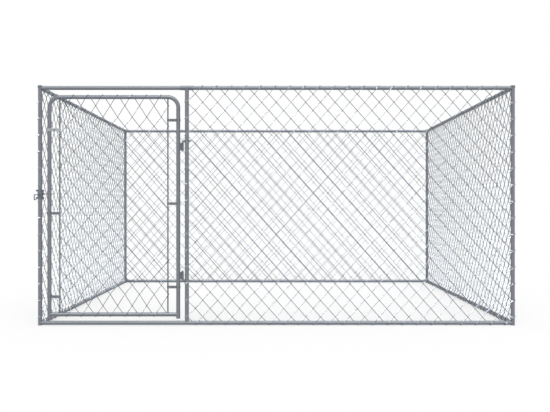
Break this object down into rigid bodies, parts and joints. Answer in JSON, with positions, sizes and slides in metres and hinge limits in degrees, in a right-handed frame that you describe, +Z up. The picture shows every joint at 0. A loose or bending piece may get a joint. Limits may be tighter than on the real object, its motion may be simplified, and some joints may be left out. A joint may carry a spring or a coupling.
{
  "type": "outdoor dog kennel run",
  "caption": "Square open-top dog run of galvanised tube with chain-link walls and a hinged chain-link door that a drop-finger lever latches at the corner post.",
  "frame": {"origin": "on the ground, in the middle of the square footprint", "axes": "+X to the right seen from the door side, +Y from the door side to the rear, +Z up"},
  "size_m": [4.0346, 4.0233, 2.015],
  "materials": {
    "galvanised_tube": "dull spangled galvanising",
    "galvanised_wire": "satin galvanised wire",
    "galvanised_fitting": "pressed and galvanised",
    "dark_zinc": "dark zinc, worn at the edges",
    "bolt_steel": "zinc-plated fasteners"
  },
  "bodies": {
    "frame": {"front_left_post": "galvanised_tube", "front_right_post": "galvanised_tube", "rear_left_post": "galvanised_tube", "rear_right_post": "galvanised_tube", "hinge_post": "galvanised_tube", "post_caps": "galvanised_fitting", "lintel_rail": "galvanised_tube", "front_top_rail": "galvanised_tube", "threshold_rail": "galvanised_tube", "front_bottom_rail": "galvanised_tube", "left_top_rail_front": "galvanised_tube", "left_top_rail_rear": "galvanised_tube", "left_bottom_rail_front": "galvanised_tube", "left_bottom_rail_rear": "galvanised_tube", "right_top_rail_front": "galvanised_tube", "right_top_rail_rear": "galvanised_tube", "right_bottom_rail_front": "galvanised_tube", "right_bottom_rail_rear": "galvanised_tube", "rear_top_rail_left": "galvanised_tube", "rear_top_rail_right": "galvanised_tube", "rear_bottom_rail_left": "galvanised_tube", "rear_bottom_rail_right": "galvanised_tube", "rail_stubs": "galvanised_fitting", "hinge_post_stub": "galvanised_fitting", "rail_couplings": "galvanised_fitting", "top_tee": "galvanised_fitting", "front_mesh": "galvanised_wire", "left_mesh": "galvanised_wire", "right_mesh": "galvanised_wire", "rear_mesh": "galvanised_wire", "front_mesh_ties": "galvanised_wire", "left_mesh_ties": "galvanised_wire", "right_mesh_ties": "galvanised_wire", "rear_mesh_ties": "galvanised_wire", "upper_hinge_bolt": "bolt_steel", "lower_hinge_bolt": "bolt_steel", "hinge_nuts": "bolt_steel", "latch_front_clamp": "dark_zinc", "latch_rear_clamp": "dark_zinc", "latch_bolts": "bolt_steel", "latch_nuts": "bolt_steel", "latch_pivot": "bolt_steel"},
    "door": {"door_hoop": "galvanised_tube", "door_bottom_tube": "galvanised_tube", "upper_hinge_barrel": "galvanised_fitting", "lower_hinge_barrel": "galvanised_fitting", "latch_side_tension_bar": "galvanised_fitting", "hinge_side_tension_bar": "galvanised_fitting", "latch_side_bands": "dark_zinc", "hinge_side_bands": "dark_zinc", "band_bolts": "bolt_steel", "band_nuts": "bolt_steel", "door_mesh": "galvanised_wire", "door_mesh_ties": "galvanised_wire", "strike_rod": "bolt_steel", "strike_nuts": "bolt_steel"},
    "latch_lever": {"latch_lever": "dark_zinc"}
  },
  "joints": [
    {"name": "door_hinge", "type": "hinge", "parent": "frame", "child": "door", "pos_m": [-0.7875, -1.98315, 0], "axis": [0, 0, 1], "range_deg": [0, 110]},
    {"name": "latch_pivot", "type": "hinge", "parent": "frame", "child": "latch_lever", "pos_m": [-1.98315, -1.98315, 1.095], "axis": [0, 1, 0], "range_deg": [0, 30]}
  ]
}
